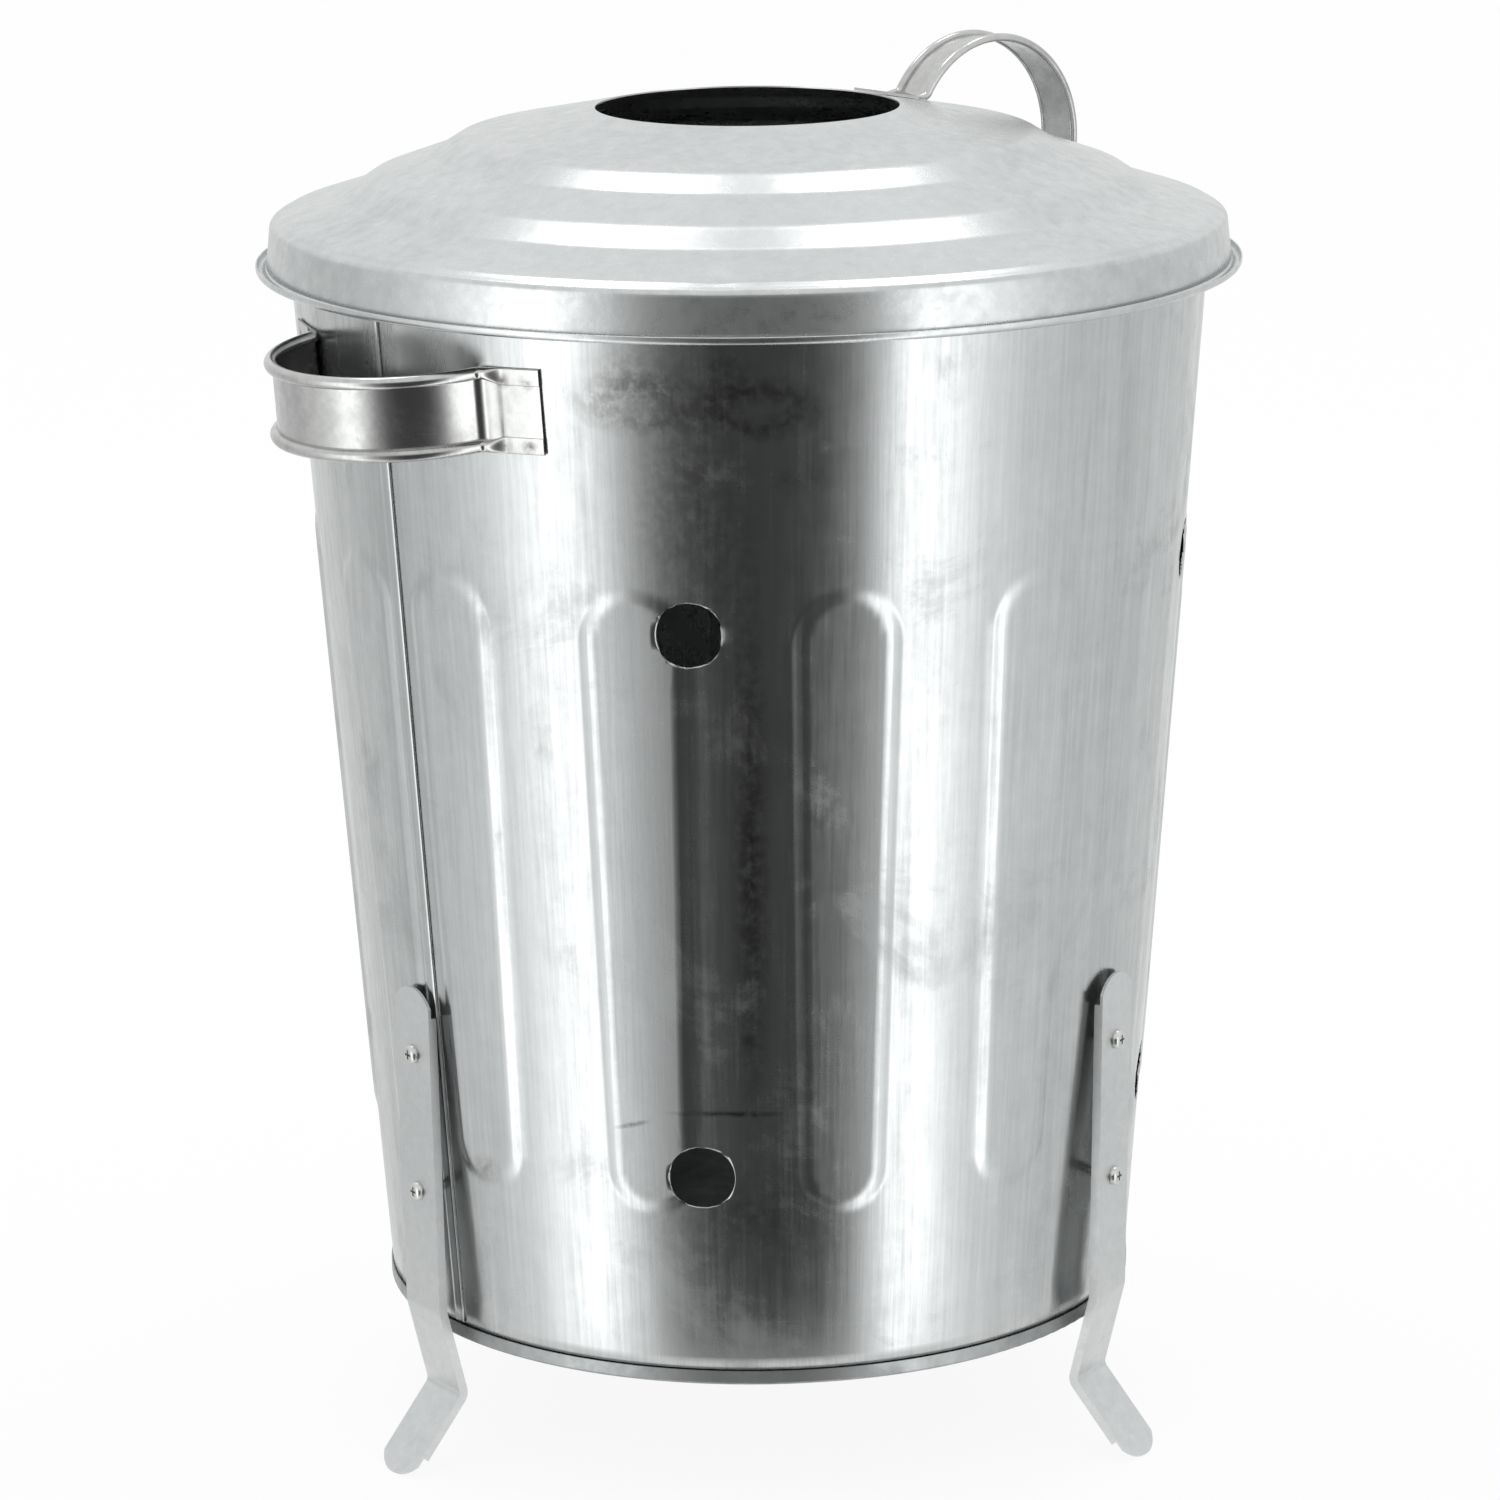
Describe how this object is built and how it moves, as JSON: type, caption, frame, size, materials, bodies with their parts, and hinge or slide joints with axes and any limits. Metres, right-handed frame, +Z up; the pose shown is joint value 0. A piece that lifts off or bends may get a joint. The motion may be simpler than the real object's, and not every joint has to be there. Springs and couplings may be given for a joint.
{
  "type": "compost bin",
  "caption": "Tapered galvanised steel compost bin on splayed feet, with fluted vented wall, loop side handles and a loose stepped lid with a round opening and a bow handle.",
  "frame": {"origin": "on the ground under the body's axis, centre of the whole part in plan", "axes": "+Z up; the two side handles and the lid handle lie on the X axis, the lid handle on +X; the front sheet faces -Y"},
  "size_m": [0.5446, 0.48, 0.675],
  "materials": {
    "wall_sheet": "bright galvanised sheet, satin, faint vertical rolling marks and smudges",
    "lid_sheet": "galvanised sheet, duller, fine mottled spangle",
    "base_sheet": "galvanised sheet, satin",
    "handle_strip": "galvanised strip, bright with darker smudges",
    "leg_strip": "galvanised strip, light satin",
    "fasteners": "bright zinc plated",
    "wire": "galvanised wire, hidden in the rolled rim"
  },
  "bodies": {
    "bin": {"body_sheet_front": "wall_sheet", "body_sheet_back": "wall_sheet", "rim_wire": "wire", "base_pan": "base_sheet", "leg_left": "leg_strip", "leg_right": "leg_strip", "leg_rear": "leg_strip", "leg_screws": "fasteners", "leg_nuts": "fasteners", "side_handle_left": "handle_strip", "side_handle_right": "handle_strip"},
    "lid": {"lid": "lid_sheet", "lid_handle": "handle_strip"}
  },
  "joints": [
    {"name": "lid_lift", "type": "slide", "parent": "bin", "child": "lid", "axis": [0, 0, 1], "range_m": [0, 0.3]}
  ]
}
